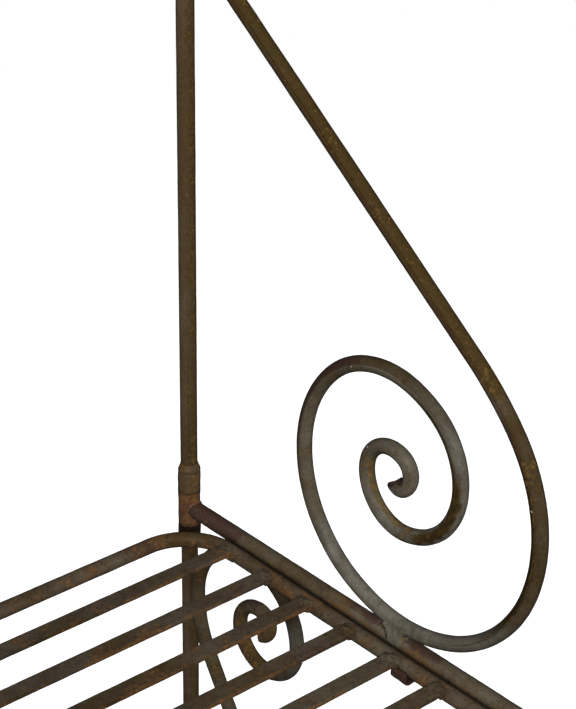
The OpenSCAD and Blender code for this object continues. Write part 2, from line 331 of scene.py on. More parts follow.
def flat_section(wide, thick, corner, across_steps=7):
    """Rounded rectangular section, as ring offsets, with extra points along its wide faces."""
    half_w, half_t = wide / 2 - corner, thick / 2 - corner
    points = []
    for sx, sy, start in ((1, 1, 0), (-1, 1, 90), (-1, -1, 180), (1, -1, 270)):
        for a in np.radians(np.linspace(start, start + 90, 4)):
            points.append((sx * half_w + corner * math.cos(a), sy * half_t + corner * math.sin(a)))
        if sx == sy:
            edge = sy * thick / 2
            fill = np.linspace(sx * half_w, -sx * half_w, across_steps + 2)[1:-1]
            points += [(x, edge) for x in fill]
    return np.array(points)


def joined(*shells):
    """One shell from several."""
    points, faces, base = [], [], 0
    for more_points, more_faces in shells:
        points.append(more_points)
        faces += [tuple(base + k for k in face) for face in more_faces]
        base += len(more_points)
    return np.concatenate(points), faces


# ---------------------------------------------------------------- materials
class Graph:
    """Short way to add shader nodes and wire them."""

    def __init__(self, name):
        self.material = bpy.data.materials.new(name)
        self.material.use_nodes = True
        self.tree = self.material.node_tree
        self.tree.nodes.clear()

    def add(self, kind, settings=None, **inputs):
        node = self.tree.nodes.new("ShaderNode" + kind)
        for key, value in (settings or {}).items():
            setattr(node, key, value)
        for key, value in inputs.items():
            socket = node.inputs[int(key[1:])] if key[0] == "i" and key[1:].isdigit() else node.inputs[key]
            if isinstance(value, bpy.types.NodeSocket):
                self.tree.links.new(value, socket)
            else:
                socket.default_value = value
        return node

    def noise(self, where, scale, detail=4.0, rough=0.6):
        return self.add("TexNoise", Vector=where, Scale=scale, Detail=detail, Roughness=rough).outputs[0]

    def maths(self, kind, a, b=0.0, clamp=False):
        return self.add("Math", {"operation": kind, "use_clamp": clamp}, i0=a, i1=b).outputs[0]

    def span(self, value, low, high):
        """value mapped from low..high to 0..1, and clamped."""
        return self.add("MapRange", i0=value, i1=low, i2=high).outputs[0]

    def mix(self, share, a, b, kind="MIX"):
        settings = {"data_type": "RGBA", "blend_type": kind, "clamp_factor": True}
        return self.add("Mix", settings, i0=share, i6=a, i7=b).outputs[2]


def rgb(colour):
    return (*colour, 1.0)


def iron(name, ground, pale, dark, rust, flare, plum, patch=0.5, specks=0.0, gloss=0.5, pits=0.65):
    """Rusted iron: a mottled ground, rust that follows the tone attribute, pits, specks and dull sheen.
    tone's red brings the plum colour and its green the rust. Its blue darkens the colour, for real grime and cracks
    and for painted shade in crevices, hollows and under things. The umber attribute brings a dark oily brown, and the
    colour is also darkened towards the silhouette as painted edge shade."""
    g = Graph(name)
    where = g.add("TexCoord").outputs["Object"]
    tone = g.add("SeparateColor", Color=g.add("Attribute", {"attribute_name": "tone"}).outputs["Color"])
    plum_tone, rust_tone, grime_and_shade = tone.outputs[0], tone.outputs[1], tone.outputs[2]
    oily = g.add("Attribute", {"attribute_name": "umber"}).outputs["Fac"]
    broad = g.noise(where, 11.0, 3.0)
    cloud = g.noise(where, 48.0, 6.0, 0.65)
    mottle = g.noise(where, 230.0, 5.0, 0.7)
    fleck = g.noise(where, 520.0, 3.0, 0.6)
    grit = g.noise(where, 1100.0, 3.0, 0.7)
    streak = g.noise(g.add("Mapping", Vector=where, Scale=(1.0, 1.0, 0.35)).outputs[0], 120.0, 4.0)

    colour = g.mix(g.span(broad, 0.38, 0.66), rgb(ground), rgb(pale))
    colour = g.mix(g.span(cloud, 0.46, 0.66), colour, rgb(ground))
    colour = g.mix(g.maths("MULTIPLY", g.span(streak, 0.54, 0.72), pits), colour, rgb(dark))
    oily = g.span(g.maths("ADD", oily, g.maths("MULTIPLY", g.maths("SUBTRACT", cloud, 0.5), 0.45)), 0.05, 0.85)
    colour = g.mix(g.maths("MULTIPLY", oily, 0.95), colour, rgb(UMBER))

    plum_mask = g.maths("ADD", plum_tone, g.maths("MULTIPLY", g.maths("SUBTRACT", cloud, 0.5), 2.2))
    colour = g.mix(g.maths("MULTIPLY", g.span(plum_mask, 0.3, 0.75), 0.88), colour, rgb(plum))

    rust_spread = g.maths("ADD", g.maths("MULTIPLY", cloud, 0.55), g.maths("MULTIPLY", mottle, 0.95))
    rust_spread = g.maths("ADD", rust_spread, g.maths("MULTIPLY", fleck, 0.85))
    edge = 1.46 - patch * 0.25
    rust_mask = g.span(g.maths("ADD", rust_spread, g.maths("MULTIPLY", rust_tone, 0.48)), edge, edge + 0.2)
    rust_colour = g.mix(g.span(mottle, 0.5, 0.68), rgb(rust), rgb(flare))
    colour = g.mix(g.maths("MULTIPLY", rust_mask, 0.85), colour, rust_colour)

    shade = g.maths("ADD", g.maths("MULTIPLY", g.span(grit, 0.2, 0.8), 0.6), 0.72)
    shade = g.maths("MULTIPLY", shade, g.maths("ADD", g.maths("MULTIPLY", mottle, 0.8), 0.62))
    shade = g.maths("MULTIPLY", shade, g.maths("ADD", g.maths("MULTIPLY", fleck, 0.7), 0.65))
    # tone's blue darkens the colour: real grime and cracks, and painted shade in crevices, hollows, under things and
    # in the deck's shadow
    shade = g.maths("MULTIPLY", shade, g.maths("SUBTRACT", 1.0, g.maths("MULTIPLY", grime_and_shade, 0.86)))
    # Painted edge shade: the colour darkens where the surface turns away from the camera, towards its silhouette
    turned_off = g.add("LayerWeight", Blend=0.5).outputs["Facing"]
    painted_edge_shade = g.maths("MULTIPLY", g.span(turned_off, 0.38, 0.85), 0.6)
    shade = g.maths("MULTIPLY", shade, g.maths("SUBTRACT", 1.0, painted_edge_shade))
    grey = g.add("CombineColor", i0=shade, i1=shade, i2=shade).outputs[0]
    colour = g.mix(1.0, colour, grey, "MULTIPLY")

    cells = g.add("TexVoronoi", Vector=where, Scale=330.0)
    chance = g.add("SeparateColor", Color=cells.outputs["Color"]).outputs[0]
    pit = g.maths("MULTIPLY", g.maths("GREATER_THAN", chance, 0.78), g.span(cells.outputs["Distance"], 0.42, 0.2))
    colour = g.mix(g.maths("MULTIPLY", pit, pits), colour, rgb(dark))
    if specks:
        dots = g.add("TexVoronoi", Vector=where, Scale=70.0)
        rare = g.maths("GREATER_THAN", g.add("SeparateColor", Color=dots.outputs["Color"]).outputs[0], 1 - specks)
        dot = g.maths("MULTIPLY", rare, g.span(dots.outputs["Distance"], 0.075, 0.05))
        colour = g.mix(dot, colour, (0.5, 0.47, 0.38, 1))

    rough = g.maths("ADD", g.maths("MULTIPLY", cloud, 0.3), gloss - 0.12)
    rough = g.maths("ADD", rough, g.maths("MULTIPLY", rust_mask, 0.2), clamp=True)
    height = g.maths("ADD", g.maths("MULTIPLY", grit, 0.35), g.maths("MULTIPLY", mottle, 0.9))
    height = g.maths("ADD", height, g.maths("MULTIPLY", fleck, 0.5))
    height = g.maths("SUBTRACT", height, g.maths("MULTIPLY", pit, 0.6))
    bump = g.add("Bump", Strength=0.6, Distance=0.0005, Height=height)
    surface = g.add("BsdfPrincipled", Roughness=rough, Metallic=0.12, Normal=bump.outputs[0])
    g.tree.links.new(g.maths("SUBTRACT", 0.22, g.maths("MULTIPLY", oily, 0.17)), surface.inputs["Specular IOR Level"])
    g.tree.links.new(colour, surface.inputs["Base Color"])
    g.add("OutputMaterial", Surface=surface.outputs[0])
    return g.material


OCHRE = (0.125, 0.066, 0.02)
ORANGE = (0.22, 0.08, 0.024)
PLUM = (0.058, 0.028, 0.02)
UMBER = (0.054, 0.0315, 0.0075)

FINISH = {
    "post_iron": iron("post_iron", (0.072, 0.046, 0.02), (0.1, 0.07, 0.04), (0.026, 0.017, 0.008),
                      (0.104, 0.058, 0.017), OCHRE, PLUM, patch=0.3, pits=0.2),
    "eye_iron": iron("eye_iron", (0.1, 0.04, 0.019), (0.135, 0.064, 0.026), (0.026, 0.013, 0.008),
                     OCHRE, ORANGE, PLUM, patch=0.5),
    "rail_iron": iron("rail_iron", (0.082, 0.058, 0.031), (0.118, 0.099, 0.069), (0.028, 0.018, 0.011),
                      (0.11, 0.062, 0.022), OCHRE, PLUM, patch=0.3, specks=0.03, pits=0.45),
    "scroll_iron": iron("scroll_iron", (0.086, 0.075, 0.053), (0.15, 0.134, 0.103), (0.036, 0.029, 0.018),
                        (0.088, 0.055, 0.015), (0.19, 0.095, 0.026), PLUM, patch=0.3, specks=0.06, gloss=0.62,
                        pits=0.35),
    "deck_iron": iron("deck_iron", (0.066, 0.044, 0.025), (0.098, 0.077, 0.05), (0.022, 0.013, 0.008),
                      (0.096, 0.05, 0.018), (0.17, 0.076, 0.024), PLUM, patch=0.34),
}
SLOT_OF = {part["node"]: part["material_slot"] for part in frame["record"]["subparts"]}


# ---------------------------------------------------------------- pieces
def piece(node, shell, tone, texture=0.1, sway=0.0):
    """Makes a worn piece that stands for a CAD node. tone(points, normals) gives its three tints, and
    umber as a fourth if the piece has any."""
    points, faces = shell
    mesh = bpy.data.meshes.new("worn_" + node)
    mesh.from_pydata(points.tolist(), [], faces)
    tidy = bmesh.new()
    tidy.from_mesh(mesh)
    bmesh.ops.recalc_face_normals(tidy, faces=tidy.faces)
    tidy.to_mesh(mesh)
    tidy.free()
    normals = np.zeros(len(points) * 3)
    mesh.vertices.foreach_get("normal", normals)
    normals = normals.reshape(-1, 3)
    dents = texture * (waves(points, 34, 11) + 0.7 * waves(points, 11, 12) + 0.45 * waves(points, 5.5, 13))
    points = points + normals * dents[:, None]
    if sway:
        points = points + sway * np.stack([waves(points, 330, 21), waves(points, 330, 22),
                                           waves(points, 330, 23)], axis=-1)
    mesh.vertices.foreach_set("co", (points * MM).ravel())
    given = tone(points, normals)
    tints = np.zeros((len(points), 4))
    for k, tint in enumerate(given):
        tints[:, k] = np.clip(tint, 0, 1)
    umber = mesh.attributes.new("umber", "FLOAT", "POINT")
    umber.data.foreach_set("value", tints[:, 3].copy())
    tints[:, 3] = 1
    layer = mesh.attributes.new("tone", "FLOAT_COLOR", "POINT")
    layer.data.foreach_set("color", tints.ravel())
    mesh.shade_smooth()
    mesh.set_sharp_from_angle(angle=math.radians(48))
    mesh.update()
    made = bpy.data.objects.new("worn_" + node, mesh)
    bpy.context.scene.collection.objects.link(made)
    made.data.materials.append(FINISH[SLOT_OF[node]])
    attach(made, frame["nodes"][node]["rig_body"])
    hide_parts(node)
    return made


# ---------------------------------------------------------------- posts, eyes and feet
def build_post(node, seam):
    low, high = low_high(node)
    centre = (low + high) / 2
    radius = (high - low)[0] / 2
    shell = straight_tube((centre[0], centre[1], low[2]), (centre[0], centre[1], high[2]), radius, seam=seam)

    def tone(points, normals):
        top_end = ease(points[:, 2], high[2] - 60, high[2])
        foot_end = ease(points[:, 2], low[2] + 90, low[2])
        # The side towards the camera's right gets ochre rust and is painted darker with umber: painted shade on the
        # side turned from the key light
        ochre_and_shade_side = ease(0.75 * normals[:, 0] - 0.66 * normals[:, 1], -0.5, 0.7)
        rust = 0.1 + 0.35 * foot_end + 0.3 * top_end + 0.3 * ochre_and_shade_side
        return 0.15 * foot_end, rust, 0.25 * foot_end, 0.15 + 0.5 * ochre_and_shade_side
    piece(node, shell, tone, texture=0.025)


def build_ring(node, tone, groove=0.95):
    """Eye or collar: a ring with rounded edges and a straight outside."""
    low, high = low_high(node)
    origin = (low + high) / 2 * [1, 1, 0] + [0, 0, low[2]]
    height = high[2] - low[2]
    outer = (high - low)[0] / 2
    inner = width("spigot_right" if "rail_eye" in node else "lower_post_right", 0) / 2 + 0.06
    profile = arc_profile(outer - groove, groove, groove, -90, 0)
    profile += [(outer, height * k / 6) for k in range(1, 6)]
    profile += arc_profile(outer - groove, height - groove, groove, 0, 90)
    profile += [(inner, height), (inner, height / 2), (inner, 0)]
    return turned_ring(origin, profile), outer, origin, height


def build_knuckle(side, name):
    """The rings on one rear post: collar, rail eye, ferrule and brace eye."""
    inward = -SIDES[side]

    def collar_tone(points, normals):
        # The collar is darkened all over, most just under its top: painted shade under the rail eye, over its own dark
        # plum and umber
        return 0.5, 0.05, 0.86 + 0.1 * ease(points[:, 2], top - 8, top), 0.9
    node = "lower_collar_" + side
    top = low_high(node)[1][2]
    shell, _, _, _ = build_ring(node, collar_tone)
    piece(node, shell, collar_tone, texture=0.1)

    node = "rail_eye_" + side
    centre = middle(node)

    def eye_tone(points, normals):
        edge = ease(abs(points[:, 2] - centre[2]), 16.2, 17.6)
        toward_rail = ease(-points[:, 1], 3, 10)
        rust = 0.55 + 0.35 * waves(points, 16, 31) - 0.5 * toward_rail
        low_part = ease(points[:, 2], centre[2] - 4, centre[2] - 17)
        return 0.45 + 0.45 * toward_rail + 0.3 * low_part, rust, 0.75 * edge + 0.25 * low_part
    shell, outer, origin, height = build_ring(node, eye_tone)
    rail_r = width("side_rail_" + side, 0) / 2
    weld = saddle_bead(centre, centre[2], outer, rail_r, (0, -1, 0), 41)
    piece(node, joined(shell, weld), eye_tone, texture=0.13)

    node = "brace_eye_" + side
    brace_centre = middle(node)

    def brace_tone(points, normals):
        edge = ease(abs(points[:, 2] - brace_centre[2]), 16.2, 17.6)
        return 0.4, 0.4 + 0.35 * waves(points, 16, 33), 0.7 * edge
    shell, outer, origin, height = build_ring(node, brace_tone)
    slope = math.radians(BRACE_SLOPE)
    bar_r = width("brace_scroll_" + side, 0) / 2
    weld = saddle_bead(brace_centre, brace_centre[2], outer, bar_r, (0, -math.cos(slope), -math.sin(slope)), 43)
    piece(node, joined(shell, weld), brace_tone, texture=0.13)

    node = "ferrule_" + side
    low, high = low_high(node)
    outer = (high - low)[0] / 2
    post_r = width("upper_post_" + side, 0) / 2
    tall = high[2] - low[2]
    shoulder = tall - 8.5
    profile = arc_profile(outer - 0.9, 0.9, 0.9, -90, 0)
    profile += [(outer, z) for z in (5, 9, 13, 17, shoulder - 2.2)]
    profile += [(outer - 0.15, shoulder - 1.3), (outer - 0.75, shoulder - 0.5), (outer - 0.65, shoulder + 0.1)]
    profile += [(outer - 0.05, shoulder + 1.1), (outer - 0.1, shoulder + 2.2), (outer - 0.7, shoulder + 3.8)]
    profile += [(post_r + 1.2, shoulder + 5.6), (post_r + 0.75, shoulder + 7.0), (post_r + 0.2, tall)]
    profile += [(post_r - 1.5, tall)]
    origin = (centre[0], centre[1], low[2])

    def ferrule_tone(points, normals):
        z = points[:, 2] - low[2]
        foot = ease(z, 6, 0)
        groove = ease(abs(z - shoulder + 0.4), 1.3, 0.2)
        return 0.75 * ease(z, 5, 0), 0.62 + 0.3 * waves(points, 14, 35) - 0.2 * ease(z, 20, 25), \
            0.6 * ease(z, 1.3, 0.2) + 0.45 * groove + 0.1 * foot - 0.14
    piece(node, turned(origin, [(post_r, 0)] + profile), ferrule_tone, texture=0.15)


def build_ends(side):
    """Rear foot, front foot and finial of one side."""
    for node, post_node in (("rear_foot_" + side, "lower_post_" + side), ("front_foot_" + side, "leg_scroll_" + side)):
        centre = middle(node)
        radius = (low_high(node)[1] - low_high(node)[0])[0] / 2
        thick = 6.0
        bar_r = width(post_node, 0) / 2 if "rear" in node else width("brace_scroll_" + side, 0) / 2
        profile = [(radius * 0.5, 0)] + arc_profile(radius - 1.2, 1.2, 1.2, -90, 0)
        profile += arc_profile(radius - 1.6, thick - 1.6, 1.6, 0, 90) + [(radius * 0.7, thick), (bar_r - 2, thick)]
        plate = turned((centre[0], centre[1], 0), profile)
        weld = circle_bead((centre[0], centre[1], thick + 0.3), bar_r + 0.4, 51)

        def tone(points, normals):
            return 0.35, 0.45 + 0.3 * waves(points, 20, 36), 0.35 * ease(points[:, 2], 2, 0)
        piece(node, joined(plate, weld), tone, texture=0.12)

    node = "finial_" + side
    low, high = low_high(node)
    centre = (low + high) / 2
    ball_r = (high - low)[0] / 2
    post_top = low_high("upper_post_" + side)[1][2]
    post_r = width("upper_post_" + side, 0) / 2
    top = high[2] - post_top
    ball_z = top - ball_r
    profile = [(post_r - 2.2, -14), (post_r - 2.2, 0), (post_r + 1.2, 0.05), (post_r + 1.4, 0.9), (post_r + 0.4, 1.7)]
    first = math.asin((1.9 - ball_z) / ball_r)
    turn = np.linspace(first, math.radians(86), 16)
    profile += [(ball_r * math.cos(a), ball_z + ball_r * math.sin(a)) for a in turn]

    def ball_tone(points, normals):
        neck = ease(points[:, 2], post_top + 4, post_top)
        return 0.2 + 0.2 * neck, 0.35 + 0.3 * waves(points, 15, 37), 0.55 * neck
    piece(node, turned((centre[0], centre[1], post_top), profile), ball_tone, texture=0.16)


# ---------------------------------------------------------------- side frames
def build_rail(side):
    node = "side_rail_" + side
    eye = middle("rail_eye_" + side)
    low, high = low_high(node)
    radius = (high - low)[0] / 2
    inward = -SIDES[side]
    seam = math.radians(62) if inward < 0 else math.radians(118)
    start, end = (eye[0], eye[1] - 6.4, eye[2]), (eye[0], low[1], eye[2])
    shell = straight_tube(start, end, radius, seam=seam, domed=radius * 0.75, depth=0.12)
    rim_y = low_high("deck_rim")[1][1]
    lug = middle("scroll_clip_" + side)[1]
    share = np.tile(seam_angles(seam)[1], len(shell[0]) // (RING + 2))

    def tone(points, normals):
        y = points[:, 1] - eye[1]
        down = 0.61 * normals[:, 0] * inward - 0.79 * normals[:, 2]
        back = ease(y, -150, -15)
        by_lug = ease(points[:, 1], lug - 78, lug - 40) * ease(points[:, 1], lug + 100, lug + 5)
        top = ease(-down, -0.12, 0.45)
        # Painted crevice shade: the lower inner flank is darkened where the deck rim runs beside it
        painted_crevice_shade = ease(down, 0.38, 0.74) * ease(points[:, 1], rim_y - 25, rim_y - 60)
        flank = ease(down, -0.1, 0.35)
        ochre = flank * (0.2 + 0.2 * ease(y, -60, -110) + 0.5 * by_lug)
        cracked = (share > 0.9) * ease(waves(points, 9, 68) + 0.5 * waves(points, 60, 69), -0.2, 0.5)
        cracked = cracked * ease(points[:, 1], lug - 45, lug - 85)
        plum = 0.95 * back + 0.85 * by_lug * top + 0.1 + 0.12 * waves(points, 70, 60)
        rust = 0.05 + 0.3 * waves(points, 45, 61) + ochre - 0.45 * back - 0.35 * by_lug * top
        umber = 0.25 * ease(points[:, 1], lug + 10, lug + 70)
        return plum, rust, np.maximum(0.95 * painted_crevice_shade, 0.85 * cracked), umber
    piece(node, shell, tone, texture=0.04, sway=0.04)


def facing_middle(points, normals, centre):
    """How far each point of a curl faces its middle, and its distance from there."""
    toward = centre - points
    distance = np.linalg.norm(toward[:, 1:], axis=1)
    facing = (toward[:, 1] * normals[:, 1] + toward[:, 2] * normals[:, 2]) / np.maximum(distance, 1)
    return facing, distance


def brace_run(side):
    """Centre line of a brace and its scroll, as points and headings from the rail eye's middle."""
    eye = middle("rail_eye_" + side)
    meet = middle("brace_eye_" + side)[2] - eye[2]
    slope = math.radians(BRACE_SLOPE)
    straight = math.hypot(BRACE_BEND[0], meet - BRACE_BEND[1])
    start = np.array([0, meet]) - 8.6 * np.array([math.cos(slope), math.sin(slope)])
    points, headings = trace(start, BRACE_SLOPE - 180, [(straight - 8.6, 0)] + BRACE_ARCS)
    return points, headings, straight - 8.6


def build_brace(side):
    node = "brace_scroll_" + side
    eye = middle("rail_eye_" + side)
    inward = -SIDES[side]
    radius = width(node, 0) / 2
    points, headings, straight = brace_run(side)
    shell, along, beside = side_bar(eye, inward, points, headings, radius - 0.1, BRACE_SEAM, (0.95, 1.17), 3)
    centre = eye + [0, -318, 196]
    end = along.max() - 1

    def tone(at, normals):
        facing, distance = facing_middle(at, normals, centre)
        bar = ease(along, straight + 130, straight + 20)
        dashes = ease(waves(at, 10, 77) + 0.6 * waves(at, 70, 78), -0.4, 0.3)
        lip = (abs(beside - 3) < 5) * ease(waves(at, 13, 79), -0.2, 0.6)
        lower = ease(along, straight + 40, straight + 150) * ease(along, straight + 470, straight + 400)
        crack = (abs(beside) < 1) * np.maximum(dashes, 0.9 * bar) + 0.5 * lower * (abs(beside + 3) < 1) * dashes
        inner_side = ease(beside, 1, 9) * ease(beside, 170, 150)
        outer_side = ease(-beside, 1, 9) * ease(-beside, 170, 150)

        first_bend = ease(along, straight + 10, straight + 110) * ease(along, straight + 330, straight + 230)
        dark_side = inner_side * ease(along, straight + 320, straight + 250)
        crest = ease(along, straight + 500, straight + 600) * ease(along, straight + 860, straight + 760)
        scab = ease(along, straight + 842, straight + 880) * ease(along, straight + 972, straight + 940)
        scab = scab * ease(abs(beside + 1) + 9 * waves(at, 14, 83), 48, 28)
        inner_edge = ease(along, straight + 770, straight + 810) * ease(along, straight + 880, straight + 850) * inner_side
        core = ease(along, straight + 960, straight + 1040)
        tip = ease(along, end - 22, end - 8)
        hollow = ease(along, end - 1.2, end + 0.8)
        stain = ease(along, straight + 925, straight + 985) * ease(beside, 40, 65) * ease(along, end - 60, end - 85)
        burnt = ease(along, end - 34, end - 24) * ease(along, end - 6, end - 12) * ease(beside, 35, 60)

        oily = np.maximum(ease(along, straight + 130, straight - 10), 0.72 * ease(along, straight + 300, straight + 205))
        oily = np.maximum(oily, 0.3 * crest * outer_side)
        left_side = ease(along, straight + 470, straight + 560) * ease(along, straight + 850, straight + 740)
        oily = oily - 0.2 * bar * inner_side + 0.22 * core + 0.45 * left_side + scab + 0.6 * inner_edge + 0.3 * lower * dark_side + 0.8 * burnt
        rust = 0.02 + 0.16 * waves(at, 60, 62) + 0.14 * bar * (1 - inner_side) + 0.1 * first_bend
        rust = rust + 0.85 * stain * ease(beside, 125, 100) + 0.22 * core + 0.45 * scab * ease(waves(at, 6, 84), -0.2, 0.8)
        rust = rust + 0.15 * crest * inner_side + 1.3 * lip * lower * ease(along, straight + 335, straight + 290)
        plum = 0.05 * bar + 0.35 * tip + 0.5 * hollow + 0.4 * bar * inner_side + 0.4 * first_bend * inner_side
        plum = plum + 1.05 * ease(along, straight + 545, straight + 625) * outer_side * ease(along, straight + 740, straight + 690)
        grime_and_shade = np.maximum(0.85 * crack * (1 - core * 0.6), 0.45 * scab * ease(waves(at, 5, 85), -1.0, 0.6))
        grime_and_shade = np.maximum(grime_and_shade, 0.4 * inner_edge + 0.5 * stain * ease(beside, 95, 125) + 0.5 * burnt)
        grime_and_shade = np.maximum(grime_and_shade, 0.22 * ease(along, straight + 560, straight + 640) * outer_side * crest)
        # Painted shade: the tip's side facing the curl's middle is darkened
        grime_and_shade = np.maximum(grime_and_shade, 0.55 * tip * ease(facing, -0.2, 0.7) * (1 - hollow))
        grime_and_shade = np.maximum(grime_and_shade, 0.36 * lower * dark_side * ease(beside, 75, 30) + 0.2 * first_bend)
        # Painted shade inside the hollow end, over its plum colour
        return plum, rust - 0.2 * hollow, np.maximum(grime_and_shade, 0.5 * hollow), oily
    piece(node, shell, tone, texture=0.03, sway=0.08)


def leg_parts(side):
    """Start, parts and sideways inset of a leg, from its foot up to the tip of its curl."""
    eye = middle("rail_eye_" + side)
    foot = middle("front_foot_" + side)
    foot_top = low_high("front_foot_" + side)[1][2] - eye[2]
    leg_r = width("brace_scroll_" + side, 0) / 2
    post_r = width("lower_post_" + side, 0) / 2
    rail_r = width("side_rail_" + side, 0) / 2
    inset = abs(foot[0] - eye[0])
    top = -math.sqrt((rail_r + leg_r) ** 2 - inset ** 2)
    steep, low = math.radians(LEG_SLOPE), math.radians(LEG_SLOPE - LEG_SWEEP)
    start_z = top - LEG_TOP_R - LEG_RISE_R * math.cos(steep)
    knee_z = start_z - LEG_RUN * math.sin(steep)
    shin_z = knee_z - LEG_SWEEP_R * (math.cos(low) - math.cos(steep))
    start_y = -(post_r + leg_r) - LEG_RISE_R * (1 - math.sin(steep))
    shin_y = start_y - LEG_RUN * math.cos(steep) - LEG_SWEEP_R * (math.sin(steep) - math.sin(low))
    foot_y = foot[1] - eye[1]
    ankle_y = foot_y + LEG_ANKLE_R * (1 - math.sin(low))
    shin = (shin_y - ankle_y) / math.cos(low)
    ankle_z = shin_z - shin * math.sin(low)
    stub = ankle_z - LEG_ANKLE_R * math.cos(low) - foot_top
    parts = [(stub, 0), (LEG_ANKLE_R, LEG_SLOPE - LEG_SWEEP - 90), (shin, 0), (LEG_SWEEP_R, LEG_SWEEP),
             (LEG_RUN, 0), (LEG_RISE_R, 90 - LEG_SLOPE), (LEG_TOP_R, 90)] + LEG_CURL
    return (foot_y, foot_top), parts, inset


def build_leg(side):
    node = "leg_scroll_" + side
    eye = middle("rail_eye_" + side)
    inward = -SIDES[side]
    radius = width("brace_scroll_" + side, 0) / 2
    start, parts, inset = leg_parts(side)
    points, headings = trace(start, 90, parts)
    origin = eye + [inward * inset, 0, 0]
    seam = ((0, 800), (-70, -42))
    shell, along, beside = side_bar(origin, inward, points, headings, radius - 0.15, seam, (0.98, 1.04), 3)
    centre = eye + [0, -88, -85]
    end = along.max() - 1

    def tone(at, normals):
        facing, distance = facing_middle(at, normals, centre)
        curl = ease(at[:, 2], eye[2] - 215, eye[2] - 150)
        inner = ease(along, end - 215, end - 120)
        # front is where the deck's shadow falls on the leg: there it is painted greyer and darker, with less rust,
        # plum and umber, a painted shadow
        front = ease(at[:, 1], centre[1] - 15, centre[1] - 40) * (1 - inner)
        rust = 0.1 + 0.35 * curl * ease(facing, -0.1, 0.8) + 0.2 * waves(at, 55, 63) + 0.62 * inner - 0.2 * front
        tip = ease(along, end - 36, end - 16)
        # Painted shade on the curl's downward faces and inside the hollow end
        grime_and_shade = 0.25 * curl * (1 - inner) * ease(normals[:, 2], 0.3, -0.8) + 0.25 * ease(along, end - 1, end + 1)
        below_rail = ease(at[:, 2], eye[2] - 70, eye[2] - 35)
        # Painted shadow of the deck over the front part, and painted shade just under the rail
        grime_and_shade = np.maximum(grime_and_shade, 0.42 * front + 0.2 * below_rail)
        umber = 0.6 - 0.6 * front * (1 - below_rail) - 0.1 * inner
        plum = 0.12 + 0.2 * waves(at, 70, 64) - 0.2 * front + 0.75 * inner * ease(normals[:, 2], -0.3, 0.5)
        return plum * (1 - 0.6 * tip), rust + 0.4 * tip, grime_and_shade, umber - 0.1 * tip
    piece(node, shell, tone, texture=0.05, sway=0.1)


def build_clip(side):
    """Web of the scroll's own metal that runs down from its flank over the rail's inner flank."""
    node = "scroll_clip_" + side
    eye = middle("rail_eye_" + side)
    low, high = low_high(node)
    inward = -SIDES[side]
    rail_r = width("side_rail_" + side, 0) / 2
    bar_r = width("brace_scroll_" + side, 0) / 2
    mid_y, half = (low[1] + high[1]) / 2, (high[1] - low[1]) / 2
    run, headings, _ = brace_run(side)
    near = (run[:, 1] < 60) & (abs(np.cos(headings)) > 0.7)
    order = np.argsort(run[near][:, 0])
    scroll_y, scroll_z = run[near][order].T
    down = np.linspace(0, 1, 18)
    skin = []
    for k in np.sin(np.linspace(-math.pi / 2, math.pi / 2, 34)):
        rear = mid_y + half * (1.25 - 0.72 * down)
        front = mid_y - half * (1.35 - 0.55 * down)
        y = (rear + front) / 2 + k * (rear - front) / 2
        top = np.interp(y[0] - eye[1], scroll_y, scroll_z) + 1.5
        heights = top + (0.8 - top) * down
        around = np.clip((top - 1.5 - heights) / bar_r, 0, 1)
        flank = bar_r * np.sqrt(1 - around ** 2 * 0.93)
        rail = np.where(heights < rail_r, np.sqrt(np.maximum(rail_r ** 2 - heights ** 2, 0)), 0)
        skirt = bar_r - 0.4 + (rail_r - bar_r + 0.5) * down ** 1.2
        hugging = np.maximum(flank, rail) - 0.5
        fade = 1 - ease(k, -0.55, -1.0)
        lump = 0.15 * waves(np.stack([down * 12, y, down * 0], axis=-1), 9, 71)
        web = np.maximum(skirt + 0.5 * np.sin(np.pi * down) + lump, hugging + 0.35)
        outer = hugging + (web - hugging + 0.25) * (1 - ease(k, 0.86, 1.0) * 0.8) * fade
        front_skin = np.stack([eye[0] + inward * outer, y, eye[2] + heights], axis=-1)
        behind = np.stack([eye[0] + inward * (hugging * 0.55), y, eye[2] + heights], axis=-1)[::-1]
        skin.append(np.concatenate([front_skin, behind]))

    def tone(at, normals):
        height = at[:, 2] - eye[2]
        sink = ease(height, 18, 2)
        rear = mid_y + half * (1.25 - 0.72 * np.clip((16 - height) / 16, 0, 1))
        crack = ease(abs(at[:, 1] - rear + 4.2 + 0.8 * waves(at, 8, 74)), 1.3, 0.4) * ease(height, 20, 16)
        fine = ease(abs(at[:, 1] - mid_y - 0.4 * half + 0.9 * (16 - height) + waves(at, 6, 75)), 0.8, 0.2)
        fine = fine * ease(height, 6, 9) * 0.5
        front = ease(mid_y - at[:, 1], half * 0.1, half * 0.75) * sink
        return 0.1 * crack, 0.05 + 0.25 * waves(at, 12, 65) + 0.8 * front + 0.7 * crack, \
            np.maximum(0.7 * crack, fine) - 0.12, crack
    piece(node, grid_skin(np.array(skin)), tone, texture=0.1)


def strap(path, wide, thick, y_mid, corner):
    """Flat strap whose middle follows a path in the XZ plane, with its width along Y."""
    path = np.array(path, float)
    ahead = np.gradient(path, axis=0)
    ahead /= np.linalg.norm(ahead, axis=1)[:, None]
    centres = np.stack([path[:, 0], np.full(len(path), y_mid), path[:, 1]], axis=-1)
    up = np.stack([-ahead[:, 1], np.zeros(len(path)), ahead[:, 0]], axis=-1)
    section = flat_section(wide, thick, corner, 5)
    offsets = np.broadcast_to(section, (len(path), *section.shape)).copy()
    end = ease(np.arange(len(path)), len(path) - 1, len(path) - 5)
    offsets[:, :, 0] *= (0.9 + 0.1 * end)[:, None]
    offsets[:, :, 1] *= (0.55 + 0.45 * end)[:, None]
    return rings(centres, np.array([0.0, 1.0, 0.0]), up, offsets)


